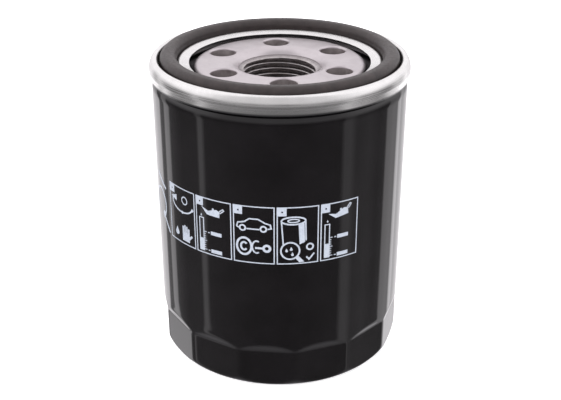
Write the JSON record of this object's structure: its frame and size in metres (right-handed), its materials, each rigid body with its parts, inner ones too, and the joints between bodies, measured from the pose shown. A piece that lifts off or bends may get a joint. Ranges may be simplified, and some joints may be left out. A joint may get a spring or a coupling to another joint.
{
  "type": "oil filter",
  "caption": "Spin-on oil filter: black drawn can with wrench flats, rolled tinplate seam, rubber gasket, threaded base plate with inlet holes, and a spring-loaded paper element inside.",
  "frame": {"origin": "centre of the foot ring of the closed end, on the plane it stands on", "axes": "+Z along the can's axis out of the threaded end, -Y towards the printed front, +X to its right"},
  "size_m": [0.0674, 0.0674, 0.0822],
  "materials": {
    "can_paint": "gloss black enamel with pale print",
    "tinplate": "satin tinplate",
    "seam_compound": "matt",
    "plate_steel": "satin pressed steel",
    "gasket_rubber": "satin nitrile rubber",
    "valve_rubber": "matt nitrile rubber",
    "zinc_steel": "zinc-plated sheet",
    "bond_resin": "cured plastisol",
    "filter_paper": "resin-treated paper",
    "brass_plated": "yellow passivated sheet",
    "spring_steel": "oiled spring wire"
  },
  "bodies": {
    "shell": {"outer_can": "can_paint", "seaming_lid": "tinplate", "seam_compound": "seam_compound", "base_plate": "plate_steel", "sealing_gasket": "gasket_rubber", "support_spring": "spring_steel"},
    "element": {"drain_valve_hub": "valve_rubber", "upper_end_cap": "zinc_steel", "upper_bond": "bond_resin", "filter_media": "filter_paper", "media_clip": "zinc_steel", "centre_tube": "zinc_steel", "lower_bond": "bond_resin", "lower_end_cap": "zinc_steel", "bypass_seat": "brass_plated", "bypass_cage": "brass_plated", "bypass_spring": "spring_steel"},
    "bypass_poppet": {"bypass_poppet": "brass_plated", "bypass_seal": "valve_rubber"},
    "drain_flap": {"drain_valve_flap": "valve_rubber"}
  },
  "joints": [
    {"name": "element_float", "type": "slide", "parent": "shell", "child": "element", "axis": [0, 0, 1], "range_m": [-0.0015, 0], "stiffness_N_per_m": 10000, "springref_m": 0.004, "deforming": ["support_spring"]},
    {"name": "bypass_open", "type": "slide", "parent": "element", "child": "bypass_poppet", "axis": [0, 0, 1], "range_m": [0, 0.003], "stiffness_N_per_m": 1200, "springref_m": -0.0065, "deforming": ["bypass_spring"]},
    {"name": "anti_drain_open", "type": "slide", "parent": "element", "child": "drain_flap", "axis": [0, 0, -1], "range_m": [0, 0.0015], "stiffness_N_per_m": 200, "springref_m": -0.0015}
  ]
}
